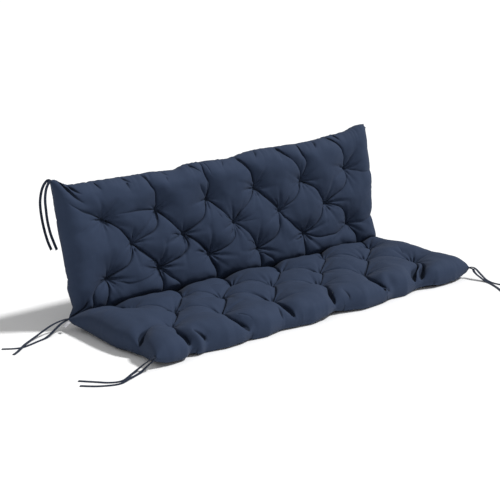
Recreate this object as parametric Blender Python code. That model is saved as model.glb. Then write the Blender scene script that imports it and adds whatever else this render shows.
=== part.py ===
# Tufted bench cushion, modelled in metres with +Z up.
# One filled pad, tufted right through, with a stitched fold between its seat and its back.
# The seat lies on the ground and the back stands up behind it, leaning a little.
# Twelve tie strands hang or lie at the corners and at the ends of the fold, and a small
# blank tab is sewn into the left side seam.
# The origin is on the ground under the seat, at mid width.

import math

import bmesh
import bpy
import numpy as np
from mathutils import Vector

# Sizes of the pad
PAD_WIDTH = 1.500
SEAT_DEPTH = 0.525
BACK_HEIGHT = 0.487
BACK_LEAN = math.radians(6.8)
FOLD_Y = 0.290
SEAM_HEIGHT = 0.040

# How far the filling lifts the cloth from the seam plane, on each side of each half.
# The seat's rear is its underside, which the ground presses flat at SEAM_HEIGHT.
LOFT = {
    "seat": {"face": 0.050, "rear": 0.070},
    "back": {"face": 0.047, "rear": 0.044},
}
EDGE_SHOULDER = 0.075
FOLD_SHOULDER = 0.050
FOLD_HALF_THICKNESS = 0.002
ROLL_CLEARANCE = 0.96

# Tufts: a stitch through the pad that draws the face and the rear together
TUFT_PITCH = 0.2327
FIRST_TUFT_X = -0.565
TUFT_HALF_THICKNESS = 0.0045
TUFT_REACH = 0.030
TUFT_ROWS = [
    {"half": "seat", "from_fold": 0.349, "tufts": 6},
    {"half": "seat", "from_fold": 0.233, "tufts": 5},
    {"half": "seat", "from_fold": 0.110, "tufts": 6},
    {"half": "back", "from_fold": 0.108, "tufts": 6},
    {"half": "back", "from_fold": 0.211, "tufts": 5},
    {"half": "back", "from_fold": 0.324, "tufts": 6},
]

# Creases between neighbouring tufts and out to the seams, shallower on the seat's underside
CREASE_DEPTH = 0.32
GROUND_CREASE_DEPTH = 0.20
CREASE_WIDTH = 0.018
EDGE_CREASE_SLANT = -0.035

# How far the outline is drawn in between the corners
SIDE_DRAW = {"seat": 0.008, "back": 0.018}
TOP_DRAW = 0.024
FRONT_DRAW = 0.006

# Spacing of the model's own lines on the cloth
CELLS_PER_HALF_PITCH = 4
CELLS_PER_ROW = 4
EDGE_BAND = (0.0, 0.010, 0.030)

# Ties and tab
TIE_WIDTH = 0.010
TIE_THICKNESS = 0.0016
TIE_POINTS = 11
TAB_THICKNESS = 0.0010
TAB_ALONG_SEAM = 0.018
TAB_OUTWARD = 0.022
TAB_DROP = 0.013
TAB_FROM_FOLD = 0.011
TAB_SEAM_GAP = 0.0025

# Cloth colours, linear
NAVY = (0.034, 0.046, 0.079, 1.0)
TIE_NAVY = (0.030, 0.040, 0.068, 1.0)
TAB_WHITE = (0.66, 0.66, 0.70, 1.0)

# Routes of the tie strands, from the seam to the free end, x, y, z in metres.
# Those on the left and at the front right are as they lie in view. The strands at the back's
# right corner and at the fold's right end hang and lie out of sight, behind the pad.
TIE_ROUTES = {
    "tie_front_left_a": [
        (-0.7550, -0.2330, 0.0400), (-0.7770, -0.2200, 0.0235), (-0.8020, -0.2130, 0.0070),
        (-0.8300, -0.2220, 0.0012), (-0.8650, -0.2430, 0.0012), (-0.8860, -0.2490, 0.0012),
        (-0.9070, -0.2440, 0.0012), (-0.9290, -0.2280, 0.0012), (-0.9450, -0.2080, 0.0012),
        (-0.9870, -0.1560, 0.0012),
    ],
    "tie_front_left_b": [
        (-0.7530, -0.2390, 0.0355), (-0.7770, -0.2330, 0.0180), (-0.7980, -0.2310, 0.0050),
        (-0.8240, -0.2380, 0.0012), (-0.8460, -0.2480, 0.0030), (-0.8650, -0.2550, 0.0036),
        (-0.8890, -0.2630, 0.0012), (-0.9080, -0.2650, 0.0012), (-0.9340, -0.2560, 0.0012),
        (-0.9710, -0.2320, 0.0012), (-1.0060, -0.1960, 0.0012),
    ],
    "tie_fold_left_a": [
        (-0.7540, 0.2940, 0.0405), (-0.7810, 0.2960, 0.0375), (-0.8130, 0.2970, 0.0295),
        (-0.8500, 0.2920, 0.0180), (-0.8810, 0.2870, 0.0080), (-0.9130, 0.2730, 0.0036),
        (-0.9400, 0.2540, 0.0038), (-0.9650, 0.2340, 0.0034), (-0.9940, 0.2120, 0.0012),
        (-1.0180, 0.1960, 0.0012),
    ],
    "tie_fold_left_b": [
        (-0.7540, 0.2910, 0.0365), (-0.7790, 0.2860, 0.0310), (-0.8040, 0.2790, 0.0210),
        (-0.8290, 0.2720, 0.0100), (-0.8570, 0.2650, 0.0022), (-0.8930, 0.2560, 0.0012),
        (-0.9270, 0.2450, 0.0012), (-0.9600, 0.2390, 0.0012), (-0.9870, 0.2480, 0.0012),
        (-1.0200, 0.2720, 0.0012),
    ],
    "tie_front_right_a": [
        (0.7560, -0.2390, 0.0360), (0.7500, -0.2520, 0.0290), (0.7480, -0.2670, 0.0210),
        (0.7490, -0.2850, 0.0130), (0.7500, -0.3060, 0.0050), (0.7480, -0.3300, 0.0012),
        (0.7360, -0.3650, 0.0012), (0.7190, -0.4020, 0.0012), (0.6980, -0.4400, 0.0012),
        (0.6790, -0.4830, 0.0012),
    ],
    "tie_front_right_b": [
        (0.7600, -0.2350, 0.0410), (0.7630, -0.2500, 0.0360), (0.7620, -0.2660, 0.0270),
        (0.7610, -0.2840, 0.0170), (0.7610, -0.3020, 0.0070), (0.7620, -0.3240, 0.0012),
        (0.7600, -0.3480, 0.0012), (0.7640, -0.3740, 0.0012), (0.7750, -0.4060, 0.0012),
        (0.7900, -0.4440, 0.0012), (0.8010, -0.4820, 0.0012),
    ],
    "tie_top_left_a": [
        (-0.7540, 0.3510, 0.5290), (-0.7680, 0.3530, 0.5210), (-0.7800, 0.3560, 0.4990),
        (-0.7860, 0.3610, 0.4640), (-0.7850, 0.3650, 0.4320), (-0.7790, 0.3690, 0.3900),
        (-0.7710, 0.3700, 0.3470), (-0.7610, 0.3700, 0.3080), (-0.7490, 0.3700, 0.2760),
    ],
    "tie_top_left_b": [
        (-0.7530, 0.3450, 0.5250), (-0.7630, 0.3440, 0.5150), (-0.7710, 0.3440, 0.4980),
        (-0.7760, 0.3450, 0.4660), (-0.7740, 0.3470, 0.4290), (-0.7690, 0.3500, 0.3860),
        (-0.7600, 0.3510, 0.3420), (-0.7490, 0.3510, 0.3080), (-0.7380, 0.3510, 0.2780),
    ],
    "tie_top_right_a": [
        (0.7530, 0.3530, 0.5260), (0.7560, 0.3640, 0.5180), (0.7560, 0.3730, 0.4960),
        (0.7540, 0.3780, 0.4620), (0.7520, 0.3800, 0.4270), (0.7490, 0.3810, 0.3890),
        (0.7460, 0.3810, 0.3500), (0.7440, 0.3800, 0.3090), (0.7430, 0.3790, 0.2680),
    ],
    "tie_top_right_b": [
        (0.7400, 0.3550, 0.5240), (0.7400, 0.3660, 0.5160), (0.7380, 0.3750, 0.4960),
        (0.7350, 0.3820, 0.4600), (0.7320, 0.3850, 0.4230), (0.7280, 0.3860, 0.3850),
        (0.7250, 0.3870, 0.3470), (0.7220, 0.3870, 0.3080), (0.7200, 0.3870, 0.2740),
    ],
    "tie_fold_right_a": [
        (0.7540, 0.2930, 0.0400), (0.7640, 0.3060, 0.0340), (0.7660, 0.3260, 0.0200),
        (0.7640, 0.3480, 0.0070), (0.7600, 0.3740, 0.0012), (0.7520, 0.4040, 0.0012),
        (0.7380, 0.4330, 0.0012), (0.7170, 0.4560, 0.0012), (0.6900, 0.4720, 0.0012),
        (0.6570, 0.4800, 0.0012),
    ],
    "tie_fold_right_b": [
        (0.7490, 0.2970, 0.0340), (0.7490, 0.3090, 0.0250), (0.7440, 0.3260, 0.0110),
        (0.7380, 0.3440, 0.0020), (0.7290, 0.3660, 0.0012), (0.7140, 0.3900, 0.0012),
        (0.6940, 0.4110, 0.0012), (0.6670, 0.4260, 0.0012), (0.6350, 0.4340, 0.0012),
        (0.6010, 0.4360, 0.0012),
    ],
}


def clear_scene():
    for obj in list(bpy.data.objects):
        bpy.data.objects.remove(obj, do_unlink=True)


def cloth_material(name, colour, roughness):
    material = bpy.data.materials.new(name)
    material.use_nodes = True
    shader = material.node_tree.nodes["Principled BSDF"]
    shader.inputs["Base Color"].default_value = colour
    shader.inputs["Roughness"].default_value = roughness
    shader.inputs["Metallic"].default_value = 0.0
    return material


def add_object(name, bm, material):
    mesh = bpy.data.meshes.new(name)
    bm.to_mesh(mesh)
    bm.free()
    mesh.materials.append(material)
    obj = bpy.data.objects.new(name, mesh)
    bpy.context.collection.objects.link(obj)
    return obj


# --- The pad -------------------------------------------------------------------------------

def tuft_places():
    """Each tuft as (x, r), r being the signed reach from the fold: seat below 0, back above."""
    places = []
    for row in TUFT_ROWS:
        sign = -1.0 if row["half"] == "seat" else 1.0
        first = FIRST_TUFT_X if row["tufts"] == 6 else FIRST_TUFT_X + 0.5 * TUFT_PITCH
        for i in range(row["tufts"]):
            places.append((first + i * TUFT_PITCH, sign * row["from_fold"]))
    return places


def crease_lines(tufts):
    """Creases run between diagonal neighbours, and from the outer tufts to the nearest seam."""
    lines = []
    for i, (xa, ra) in enumerate(tufts):
        for xb, rb in tufts[i + 1:]:
            near_x = abs(xa - xb) < 0.6 * TUFT_PITCH
            near_r = abs(ra - rb) < 0.15
            if near_x and near_r and ra * rb > 0.0:
                lines.append(((xa, ra), (xb, rb)))
    reaches = [r for x, r in tufts]
    nearest_seat = max(r for r in reaches if r < 0.0)
    nearest_back = min(r for r in reaches if r > 0.0)
    for x, r in tufts:
        if r == max(reaches):
            lines.append(((x, r), (x + EDGE_CREASE_SLANT, BACK_HEIGHT)))
        if r == min(reaches):
            lines.append(((x, r), (x + EDGE_CREASE_SLANT, -SEAT_DEPTH)))
        if r in (nearest_seat, nearest_back):
            lines.append(((x, r), (x, 0.0)))
        if r not in (nearest_seat, nearest_back) and abs(x) > 2.0 * TUFT_PITCH:
            lines.append(((x, r), (math.copysign(0.5 * PAD_WIDTH, x), r)))
    return lines


def spaced(low, high, cells):
    return [low + (high - low) * i / cells for i in range(cells)]


def edge_stations(edge, inner, cells):
    """Lines from an edge to the first tuft line, close together at the seam."""
    sign = 1.0 if inner > edge else -1.0
    band = [edge + sign * d for d in EDGE_BAND]
    return band[:-1] + spaced(band[-1], inner, cells)


def x_stations():
    half = 0.5 * PAD_WIDTH
    step = 0.5 * TUFT_PITCH / CELLS_PER_HALF_PITCH
    first = FIRST_TUFT_X
    last = FIRST_TUFT_X + 5 * TUFT_PITCH
    middle = spaced(first, last, 10 * CELLS_PER_HALF_PITCH)
    left = edge_stations(-half, first, round((first + half) / step))
    right = edge_stations(half, last, round((half - last) / step))
    return left + middle + [last] + right[::-1]


def half_stations(rows, end):
    """Reaches from the fold to the outer edge of one half, the fold itself included."""
    reaches = [0.0, 0.007, 0.022]
    reaches += spaced(0.045, rows[0], 3)
    for near, far in zip(rows, rows[1:]):
        reaches += spaced(near, far, CELLS_PER_ROW)
    step = (rows[-1] - rows[0]) / (2 * CELLS_PER_ROW)
    outer = edge_stations(end, rows[-1], round((end - rows[-1]) / step))
    return reaches + [rows[-1]] + outer[::-1]


def r_stations():
    seat_rows = sorted(row["from_fold"] for row in TUFT_ROWS if row["half"] == "seat")
    back_rows = sorted(row["from_fold"] for row in TUFT_ROWS if row["half"] == "back")
    seat = half_stations(seat_rows, SEAT_DEPTH)
    back = half_stations(back_rows, BACK_HEIGHT)
    return [-reach for reach in seat[:0:-1]] + back


def shoulder(distance, width):
    """Quarter-ellipse rise from a seam: 0 at the seam, 1 from width onwards."""
    inside = np.clip(distance / width, 0.0, 1.0)
    return np.sqrt(1.0 - (1.0 - inside) ** 2)


def segment_distance(x, r, start, end):
    ax, ar = start
    dx, dr = end[0] - ax, end[1] - ar
    along = np.clip(((x - ax) * dx + (r - ar) * dr) / (dx * dx + dr * dr), 0.0, 1.0)
    return np.hypot(x - ax - along * dx, r - ar - along * dr)


def loft_fields(x, r):
    """Height of the face and of the rear above the seam plane, at each x and reach."""
    half_width = 0.5 * PAD_WIDTH
    end = np.where(r < 0.0, SEAT_DEPTH, BACK_HEIGHT)
    from_fold = np.abs(r)
    rise = shoulder(half_width - np.abs(x), EDGE_SHOULDER) * shoulder(end - from_fold, EDGE_SHOULDER)
    tufts = tuft_places()
    puff = np.ones_like(x)
    for tuft_x, tuft_r in tufts:
        distance = np.hypot(x - tuft_x, r - tuft_r)
        puff *= 1.0 - np.exp(-((distance / TUFT_REACH) ** 1.15))
    crease = np.zeros_like(x)
    for start, finish in crease_lines(tufts):
        distance = segment_distance(x, r, start, finish)
        crease = np.maximum(crease, np.exp(-((distance / CREASE_WIDTH) ** 2)))
    bisector = math.tan(0.5 * (0.5 * math.pi + BACK_LEAN))
    fold_rise = shoulder(from_fold, FOLD_SHOULDER)
    lofts = {}
    for side in ("face", "rear"):
        full = np.where(r < 0.0, LOFT["seat"][side], LOFT["back"][side])
        underside = (r < 0.0) & (side == "rear")
        crease_depth = np.where(underside, GROUND_CREASE_DEPTH, CREASE_DEPTH)
        height = full * rise * puff * fold_rise * (1.0 - crease_depth * crease)
        if side == "face":
            height = np.minimum(height, bisector * ROLL_CLEARANCE * from_fold)
        least = np.minimum(TUFT_HALF_THICKNESS, FOLD_HALF_THICKNESS + 0.5 * from_fold)
        lofts[side] = np.maximum(height, least * np.minimum(1.0, 2.0 * rise))
    on_ground = np.minimum(lofts["rear"], SEAM_HEIGHT)
    lofts["rear"] = np.where(r <= 0.0, on_ground, lofts["rear"])
    return lofts


def drawn_in(x, r):
    """The outline, pulled in between its corners."""
    half_width = 0.5 * PAD_WIDTH
    end = np.where(r < 0.0, SEAT_DEPTH, BACK_HEIGHT)
    side_draw = np.where(r < 0.0, SIDE_DRAW["seat"], SIDE_DRAW["back"])
    end_draw = np.where(r < 0.0, FRONT_DRAW, TOP_DRAW)
    bow = np.sin(math.pi * np.clip(np.abs(r) / end, 0.0, 1.0)) ** 0.8
    near_side = np.clip((np.abs(x) - 0.5 * half_width) / (0.5 * half_width), 0.0, 1.0)
    drawn_x = x - np.sign(x) * side_draw * bow * near_side
    row_line = np.where(r < 0.0, TUFT_ROWS[0]["from_fold"], TUFT_ROWS[-1]["from_fold"])
    near_end = np.clip((np.abs(r) - row_line) / (end - row_line), 0.0, 1.0)
    across = 1.0 - (np.abs(x) / half_width) ** 5
    drawn_r = r - np.sign(r) * end_draw * across * near_end
    return drawn_x, drawn_r


def standing_place(x, r, loft):
    """Bends the flat pad into its seat and back; loft is signed, above 0 on the face side."""
    lean_y, lean_z = math.sin(BACK_LEAN), math.cos(BACK_LEAN)
    seat = np.stack([x, FOLD_Y + r, SEAM_HEIGHT + loft], axis=-1)
    back = np.stack([x, FOLD_Y + r * lean_y - loft * lean_z, SEAM_HEIGHT + r * lean_z + loft * lean_y], axis=-1)
    crossing = np.stack([x, FOLD_Y - loft * math.sin(0.5 * BACK_LEAN + 0.25 * math.pi),
                         SEAM_HEIGHT + loft * math.cos(0.5 * BACK_LEAN + 0.25 * math.pi)], axis=-1)
    bent = np.where((r < 0.0)[..., None], seat, back)
    return np.where((r == 0.0)[..., None], crossing, bent)


def build_cushion():
    xs = np.array(x_stations())
    rs = np.array(r_stations())
    x, r = np.meshgrid(xs, rs, indexing="ij")
    lofts = loft_fields(x, r)
    drawn_x, drawn_r = drawn_in(x, r)
    on_edge = np.zeros_like(x, dtype=bool)
    on_edge[0, :] = on_edge[-1, :] = on_edge[:, 0] = on_edge[:, -1] = True
    bm = bmesh.new()
    layers = {}
    for side, sign in (("face", 1.0), ("rear", -1.0)):
        loft = np.where(on_edge, 0.0, sign * lofts[side])
        places = standing_place(drawn_x, drawn_r, loft)
        layer = {}
        for i in range(len(xs)):
            for j in range(len(rs)):
                shared = on_edge[i, j] and side == "rear"
                layer[i, j] = layers["face"][i, j] if shared else bm.verts.new(places[i, j])
        layers[side] = layer
        for i in range(len(xs) - 1):
            for j in range(len(rs) - 1):
                corners = [(i, j), (i + 1, j), (i + 1, j + 1), (i, j + 1)]
                at_corner = i in (0, len(xs) - 2) and j in (0, len(rs) - 2)
                add_cell(bm, layer, corners, lofts[side], at_corner, flip=side == "rear")
    bm.normal_update()
    pad = add_object("cushion", bm, cloth_material("navy cloth", NAVY, 0.62))
    pad.data.shade_smooth()
    return pad


def add_cell(bm, layer, corners, loft, at_corner, flip):
    """One cell as two triangles, split along its lower diagonal so that creases stay sharp.

    A cell at the pad's corner is split the other way, from the corner to its inner point.
    """
    a, b, c, d = corners
    lower_first = loft[a] + loft[c] <= loft[b] + loft[d]
    if lower_first != at_corner:
        triangles = [(a, b, c), (a, c, d)]
    else:
        triangles = [(a, b, d), (b, c, d)]
    for triangle in triangles:
        verts = [layer[key] for key in triangle]
        bm.faces.new(verts[::-1] if flip else verts)


# --- Ties and tab --------------------------------------------------------------------------

def smooth_route(points, count):
    """Evenly spaced points on a Catmull-Rom curve through the route."""
    route = [Vector(point) for point in points]
    ends = [2.0 * route[0] - route[1]] + route + [2.0 * route[-1] - route[-2]]
    fine = []
    for i in range(1, len(ends) - 2):
        p0, p1, p2, p3 = ends[i - 1:i + 3]
        for step in range(12):
            t = step / 12
            fine.append(0.5 * (2.0 * p1 + (p2 - p0) * t + (2.0 * p0 - 5.0 * p1 + 4.0 * p2 - p3) * t * t
                               + (3.0 * p1 - p0 - 3.0 * p2 + p3) * t ** 3))
    fine.append(route[-1])
    lengths = [0.0]
    for near, far in zip(fine, fine[1:]):
        lengths.append(lengths[-1] + (far - near).length)
    even = []
    for k in range(count):
        target = lengths[-1] * k / (count - 1)
        i = min(max(np.searchsorted(lengths, target), 1), len(fine) - 1)
        share = (target - lengths[i - 1]) / (lengths[i] - lengths[i - 1])
        even.append(fine[i - 1].lerp(fine[i], share))
    return even


def flat_side(tangent, height):
    """Direction across a strand: level where it lies, and along the pad's side where it hangs."""
    level = Vector((0.0, 0.0, 1.0)).cross(tangent)
    hanging = Vector((0.0, 1.0, 0.0)).cross(tangent)
    share = 1.0 if height < 0.10 else 0.0
    side = level * share + hanging * (1.0 - share)
    return side.normalized()


def build_tie(name, material):
    path = smooth_route(TIE_ROUTES[name], TIE_POINTS)
    bm = bmesh.new()
    rings = []
    for i, point in enumerate(path):
        tangent = (path[min(i + 1, len(path) - 1)] - path[max(i - 1, 0)]).normalized()
        side = flat_side(tangent, point.z)
        up = tangent.cross(side).normalized()
        half_w, half_t = 0.5 * TIE_WIDTH, 0.5 * TIE_THICKNESS
        section = [(-half_w, -half_t), (half_w, -half_t), (half_w, half_t), (-half_w, half_t)]
        rings.append([bm.verts.new(point + side * w + up * t) for w, t in section])
    for near, far in zip(rings, rings[1:]):
        for k in range(4):
            bm.faces.new([near[k], near[(k + 1) % 4], far[(k + 1) % 4], far[k]])
    bm.faces.new(rings[0][::-1])
    bm.faces.new(rings[-1])
    bmesh.ops.recalc_face_normals(bm, faces=bm.faces)
    return add_object(name, bm, material)


def build_tab():
    """A folded blank tab that droops from the left side seam just in front of the fold."""
    seam_x = -0.5 * PAD_WIDTH - TAB_SEAM_GAP
    bm = bmesh.new()
    corners = []
    for outward in (0.0, 1.0):
        for along in (0.0, 1.0):
            for layer in (-0.5, 0.5):
                corners.append(bm.verts.new((
                    seam_x - TAB_OUTWARD * outward,
                    FOLD_Y - TAB_FROM_FOLD - TAB_ALONG_SEAM * along,
                    SEAM_HEIGHT - 0.004 - TAB_DROP * outward + TAB_THICKNESS * layer,
                )))
    for face in ((0, 1, 3, 2), (4, 6, 7, 5), (0, 4, 5, 1), (2, 3, 7, 6), (1, 5, 7, 3), (0, 2, 6, 4)):
        bm.faces.new([corners[k] for k in face])
    bmesh.ops.recalc_face_normals(bm, faces=bm.faces)
    return add_object("side_tab", bm, cloth_material("white tab", TAB_WHITE, 0.70))


def main():
    clear_scene()
    build_cushion()
    tie_cloth = cloth_material("navy tie", TIE_NAVY, 0.60)
    for name in TIE_ROUTES:
        build_tie(name, tie_cloth)
    build_tab()


main()
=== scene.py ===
import math
import time

import bmesh
import bpy
import numpy as np
from mathutils import Matrix, Vector, kdtree, noise


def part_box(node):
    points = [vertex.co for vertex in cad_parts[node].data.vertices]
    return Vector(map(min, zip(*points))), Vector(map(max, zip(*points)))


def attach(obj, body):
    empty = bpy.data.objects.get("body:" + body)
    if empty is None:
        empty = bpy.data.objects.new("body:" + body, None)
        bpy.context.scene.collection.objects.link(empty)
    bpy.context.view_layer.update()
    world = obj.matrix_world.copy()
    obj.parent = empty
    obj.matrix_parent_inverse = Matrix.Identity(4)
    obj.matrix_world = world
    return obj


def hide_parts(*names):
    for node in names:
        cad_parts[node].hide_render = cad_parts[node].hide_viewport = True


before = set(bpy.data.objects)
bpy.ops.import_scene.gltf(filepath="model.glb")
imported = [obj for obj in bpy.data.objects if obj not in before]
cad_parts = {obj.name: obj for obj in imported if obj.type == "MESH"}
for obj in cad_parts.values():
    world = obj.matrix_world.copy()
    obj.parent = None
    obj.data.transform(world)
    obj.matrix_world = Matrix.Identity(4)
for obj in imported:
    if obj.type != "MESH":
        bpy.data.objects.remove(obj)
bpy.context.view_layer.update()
startTime = time.time()


def report(text):
    print(f"[{time.time() - startTime:6.1f} s] {text}")


cameraPlace = {
    "place": (-3.0635, -3.6062, 1.532),
    "yaw": 38.87,    # degrees from +Y towards +X
    "pitch": 15.61,  # degrees below level
    "roll": -1.16,
    "lens": 97.33,   # on a 36 mm sensor
}


def makeCamera():
    data = bpy.data.cameras.new("cushionCamera")
    data.sensor_width = 36.0
    data.lens = cameraPlace["lens"]
    data.clip_end = 60.0
    camera = bpy.data.objects.new("cushionCamera", data)
    bpy.context.collection.objects.link(camera)
    turn = Matrix.Rotation(-math.radians(cameraPlace["yaw"]), 4, "Z")
    tilt = Matrix.Rotation(math.radians(90.0 - cameraPlace["pitch"]), 4, "X")
    roll = Matrix.Rotation(math.radians(cameraPlace["roll"]), 4, "Z")
    camera.matrix_world = Matrix.Translation(cameraPlace["place"]) @ turn @ tilt @ roll
    bpy.context.scene.camera = camera


def coordsOf(mesh):
    coords = np.empty(len(mesh.vertices) * 3)
    mesh.vertices.foreach_get("co", coords)
    return coords.reshape(-1, 3)


def setCoords(mesh, coords):
    mesh.vertices.foreach_set("co", np.ascontiguousarray(coords, dtype=np.float64).ravel())
    mesh.update()


def addPiece(name, bm):
    mesh = bpy.data.meshes.new(name)
    bm.to_mesh(mesh)
    bm.free()
    obj = bpy.data.objects.new(name, mesh)
    bpy.context.collection.objects.link(obj)
    return obj


def applyModifiers(obj):
    shown = obj.evaluated_get(bpy.context.evaluated_depsgraph_get())
    baked = bpy.data.meshes.new_from_object(shown)
    old = obj.data
    obj.modifiers.clear()
    obj.data = baked
    name = old.name
    bpy.data.meshes.remove(old)
    baked.name = name


def thicken(strip, thickness, cloth):
    wall = strip.modifiers.new("thickness", "SOLIDIFY")
    wall.thickness = thickness
    wall.offset = 0.0
    applyModifiers(strip)
    strip.data.shade_smooth()
    strip.data.set_sharp_from_angle(angle=math.radians(50.0))
    strip.data.materials.append(cloth)


def throughPoints(points, step):  # even points on a smooth curve through the given ones
    pts = np.array(points, dtype=float)
    pts = np.vstack([2 * pts[0] - pts[1], pts, 2 * pts[-1] - pts[-2]])
    fine = []
    for a, b, c, d in zip(pts, pts[1:], pts[2:], pts[3:]):
        for t in np.linspace(0.0, 1.0, 16, endpoint=False):
            fine.append(0.5 * (2 * b + (c - a) * t + (2 * a - 5 * b + 4 * c - d) * t * t
                               + (3 * b - a - 3 * c + d) * t ** 3))
    fine = np.array(fine + [pts[-2]])
    along = np.concatenate([[0.0], np.cumsum(np.linalg.norm(np.diff(fine, axis=0), axis=1))])
    count = max(2, round(along[-1] / step) + 1)
    even = np.linspace(0.0, along[-1], count)
    return np.stack([np.interp(even, along, fine[:, k]) for k in range(fine.shape[1])], axis=1)


tie = {
    "width": 0.010,
    "thickness": 0.0016,
    "step": 0.006,
    "across": 6,
    "stitchInset": 0.0016,
    "stitchDepth": 0.00025,
}

tieRoutes = {
    "tie_front_left_a": [
        (-0.755, -0.233, 0.04), (-0.777, -0.22, 0.0235), (-0.802, -0.213, 0.007),
        (-0.83, -0.222, 0.0012), (-0.865, -0.243, 0.0012), (-0.886, -0.249, 0.0012),
        (-0.907, -0.244, 0.0012), (-0.929, -0.228, 0.0012), (-0.945, -0.208, 0.0012),
        (-0.987, -0.156, 0.0012),
    ],
    "tie_front_left_b": [
        (-0.753, -0.239, 0.0355), (-0.777, -0.233, 0.018), (-0.798, -0.231, 0.005),
        (-0.824, -0.238, 0.0012), (-0.846, -0.248, 0.003), (-0.865, -0.255, 0.0036),
        (-0.889, -0.263, 0.0012), (-0.908, -0.265, 0.0012), (-0.934, -0.256, 0.0012),
        (-0.971, -0.232, 0.0012), (-1.006, -0.196, 0.0012),
    ],
    "tie_fold_left_a": [
        (-0.754, 0.294, 0.0405), (-0.781, 0.296, 0.0375), (-0.813, 0.297, 0.0295),
        (-0.85, 0.292, 0.018), (-0.881, 0.287, 0.008), (-0.913, 0.273, 0.0036),
        (-0.94, 0.254, 0.0038), (-0.965, 0.234, 0.0034), (-0.994, 0.212, 0.0012),
        (-1.018, 0.196, 0.0012),
    ],
    "tie_fold_left_b": [
        (-0.754, 0.291, 0.0365), (-0.779, 0.286, 0.031), (-0.804, 0.279, 0.021),
        (-0.829, 0.272, 0.01), (-0.857, 0.265, 0.0022), (-0.893, 0.256, 0.0012),
        (-0.927, 0.245, 0.0012), (-0.96, 0.239, 0.0012), (-0.987, 0.248, 0.0012),
        (-1.02, 0.272, 0.0012),
    ],
    "tie_front_right_a": [
        (0.756, -0.239, 0.036), (0.75, -0.252, 0.029), (0.748, -0.267, 0.021),
        (0.749, -0.285, 0.013), (0.75, -0.306, 0.005), (0.748, -0.33, 0.0012),
        (0.736, -0.365, 0.0012), (0.719, -0.402, 0.0012), (0.698, -0.44, 0.0012),
        (0.679, -0.483, 0.0012),
    ],
    "tie_front_right_b": [
        (0.76, -0.235, 0.041), (0.763, -0.25, 0.036), (0.762, -0.266, 0.027),
        (0.761, -0.284, 0.017), (0.761, -0.302, 0.007), (0.762, -0.324, 0.0012),
        (0.76, -0.348, 0.0012), (0.764, -0.374, 0.0012), (0.775, -0.406, 0.0012),
        (0.79, -0.444, 0.0012), (0.801, -0.482, 0.0012),
    ],
    "tie_top_left_a": [
        (-0.754, 0.351, 0.529), (-0.768, 0.353, 0.521), (-0.78, 0.356, 0.499),
        (-0.786, 0.361, 0.464), (-0.785, 0.365, 0.432), (-0.779, 0.369, 0.39),
        (-0.771, 0.37, 0.347), (-0.761, 0.37, 0.308), (-0.749, 0.37, 0.276),
    ],
    "tie_top_left_b": [
        (-0.753, 0.345, 0.525), (-0.763, 0.344, 0.515), (-0.771, 0.344, 0.498),
        (-0.776, 0.345, 0.466), (-0.774, 0.347, 0.429), (-0.769, 0.35, 0.386),
        (-0.76, 0.351, 0.342), (-0.749, 0.351, 0.308), (-0.738, 0.351, 0.278),
    ],
    "tie_top_right_a": [
        (0.748, 0.354, 0.512), (0.754, 0.364, 0.506), (0.756, 0.373, 0.492),
        (0.754, 0.378, 0.462), (0.752, 0.38, 0.427), (0.749, 0.381, 0.389),
        (0.746, 0.381, 0.35), (0.744, 0.38, 0.309), (0.743, 0.379, 0.268),
    ],
    "tie_top_right_b": [
        (0.738, 0.356, 0.51), (0.74, 0.366, 0.504), (0.738, 0.375, 0.49),
        (0.735, 0.382, 0.46), (0.732, 0.385, 0.423), (0.728, 0.386, 0.385),
        (0.725, 0.387, 0.347), (0.722, 0.387, 0.308), (0.72, 0.387, 0.274),
    ],
    "tie_fold_right_a": [
        (0.754, 0.293, 0.04), (0.764, 0.306, 0.034), (0.766, 0.326, 0.02),
        (0.764, 0.348, 0.007), (0.76, 0.374, 0.0012), (0.752, 0.404, 0.0012),
        (0.738, 0.433, 0.0012), (0.717, 0.456, 0.0012), (0.69, 0.472, 0.0012),
        (0.657, 0.48, 0.0012),
    ],
    "tie_fold_right_b": [
        (0.749, 0.297, 0.034), (0.749, 0.309, 0.025), (0.744, 0.326, 0.011),
        (0.738, 0.344, 0.002), (0.729, 0.366, 0.0012), (0.714, 0.39, 0.0012),
        (0.694, 0.411, 0.0012), (0.667, 0.426, 0.0012), (0.635, 0.434, 0.0012),
        (0.601, 0.436, 0.0012),
    ],
}


tieRoots = {   # where each pair of strands is sewn in, inside the pad
    "tie_front_left": (-0.736, -0.224, 0.04),
    "tie_fold_left": (-0.736, 0.29, 0.04),
    "tie_front_right": (0.742, -0.224, 0.04),
    "tie_top_left": (-0.742, 0.346, 0.516),
    "tie_top_right": (0.734, 0.345, 0.506),
    "tie_fold_right": (0.736, 0.29, 0.038),
}


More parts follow.
